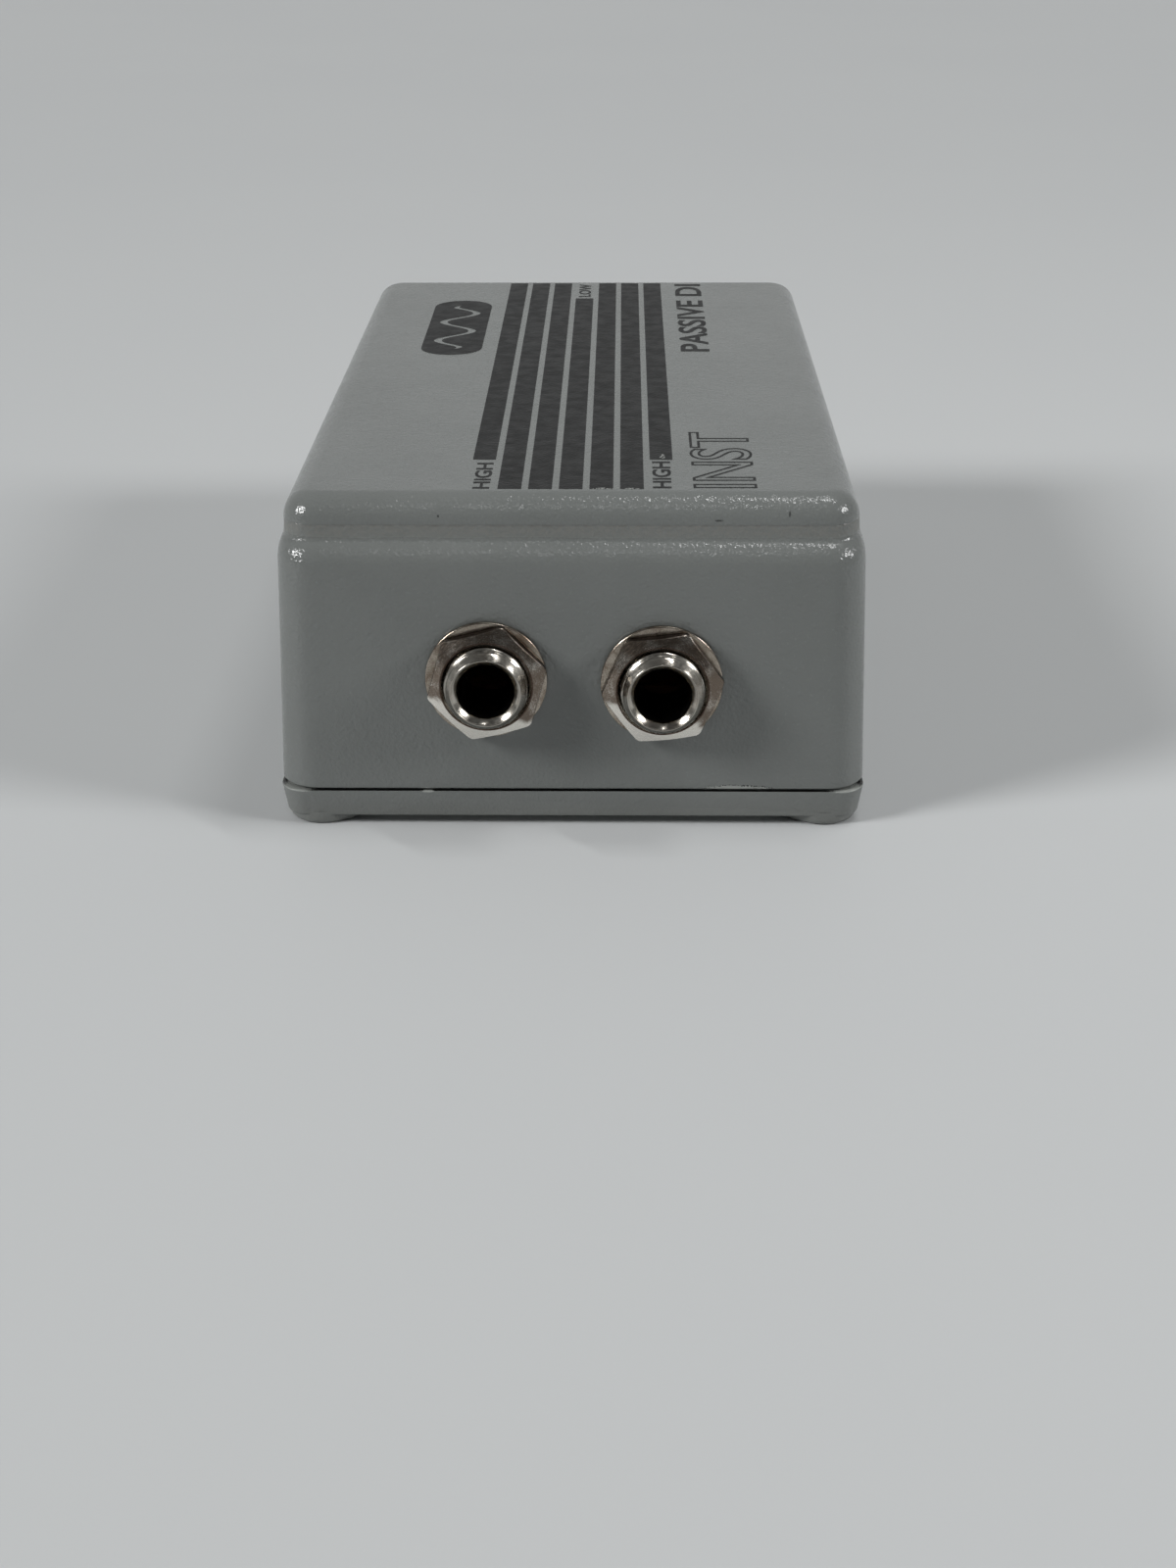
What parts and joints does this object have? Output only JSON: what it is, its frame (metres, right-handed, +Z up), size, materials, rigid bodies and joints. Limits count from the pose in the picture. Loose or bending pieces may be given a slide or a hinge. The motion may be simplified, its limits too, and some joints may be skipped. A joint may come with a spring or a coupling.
{
  "type": "direct injection box",
  "caption": "Passive direct injection box: die-cast enclosure with parallel quarter-inch jacks, three-pin balanced output, ground-lift slide switch and internal transformer.",
  "frame": {"origin": "on the standing surface, under the centre of the whole object's bounding box", "axes": "+Z up, -Y is the end with the two jacks, +X to the right when that end faces the viewer"},
  "size_m": [0.0668, 0.1274, 0.0384],
  "materials": {
    "enamel": "semi-gloss grey stove enamel with fine orange peel",
    "nickel": "bright nickel plate, slightly tarnished",
    "zinc": "zinc plated steel",
    "steel": "plain steel",
    "cast_nickel": "satin nickel on die-cast zinc",
    "silver": "silver plate",
    "spring_bronze": "phosphor bronze spring leaf",
    "phenolic": "brown phenolic board",
    "black_plastic": "black moulded plastic",
    "lamination": "varnished transformer steel",
    "bobbin": "natural nylon",
    "winding_tape": "amber polyester tape",
    "foam": "closed-cell foam",
    "resistor": "moulded resistor body",
    "capacitor": "dipped film capacitor",
    "yellow_wire": "PVC insulation",
    "red_wire": "PVC insulation",
    "black_wire": "PVC insulation",
    "white_wire": "PVC insulation",
    "green_wire": "PVC insulation"
  },
  "bodies": {
    "case": {"upper_shell": "enamel", "bottom_cover": "enamel", "cover_screw_front_left": "zinc", "cover_screw_front_right": "zinc", "cover_screw_rear_right": "zinc", "cover_screw_rear_left": "zinc", "left_jack_frame": "nickel", "left_jack_washer": "nickel", "left_jack_nut": "nickel", "left_jack_lock_washer": "steel", "left_jack_insulator": "phenolic", "left_jack_tip_lug": "spring_bronze", "right_jack_frame": "nickel", "right_jack_washer": "nickel", "right_jack_nut": "nickel", "right_jack_lock_washer": "steel", "right_jack_insulator": "phenolic", "right_jack_tip_lug": "spring_bronze", "output_shell": "cast_nickel", "output_insert": "black_plastic", "output_pin_1": "silver", "output_pin_2": "silver", "output_pin_3": "silver", "output_screw_low": "zinc", "output_screw_high": "zinc", "output_nut_low": "zinc", "output_nut_high": "zinc", "lift_switch_frame": "steel", "lift_switch_base": "phenolic", "lift_switch_terminal_1": "silver", "lift_switch_terminal_2": "silver", "lift_switch_terminal_3": "silver", "lift_switch_screw_low": "zinc", "lift_switch_screw_high": "zinc", "transformer_pad": "foam", "transformer_bracket": "zinc", "transformer_core": "lamination", "transformer_bobbin": "bobbin", "transformer_winding": "winding_tape", "lift_resistor": "resistor", "lift_capacitor": "capacitor", "wire_tip_link": "yellow_wire", "wire_tip_to_coil": "red_wire", "wire_sleeve_link": "black_wire", "wire_sleeve_to_coil": "black_wire", "wire_hot": "white_wire", "wire_cold": "green_wire", "wire_ground": "black_wire"},
    "lift_lever": {"lift_switch_lever": "black_plastic"},
    "left_spring": {"left_jack_tip_spring": "spring_bronze"},
    "right_spring": {"right_jack_tip_spring": "spring_bronze"}
  },
  "joints": [
    {"name": "ground_lift_slide", "type": "slide", "parent": "case", "child": "lift_lever", "axis": [0, 0, 1], "range_m": [0, 0.003]},
    {"name": "left_tip_flex", "type": "hinge", "parent": "case", "child": "left_spring", "pos_m": [-0.00948, -0.04221, 0.0128], "axis": [1, 0, 0], "range_deg": [-8, 0], "stiffness_Nm_per_rad": 0.2},
    {"name": "right_tip_flex", "type": "hinge", "parent": "case", "child": "right_spring", "pos_m": [0.01008, -0.04221, 0.0128], "axis": [1, 0, 0], "range_deg": [-8, 0], "stiffness_Nm_per_rad": 0.2}
  ]
}
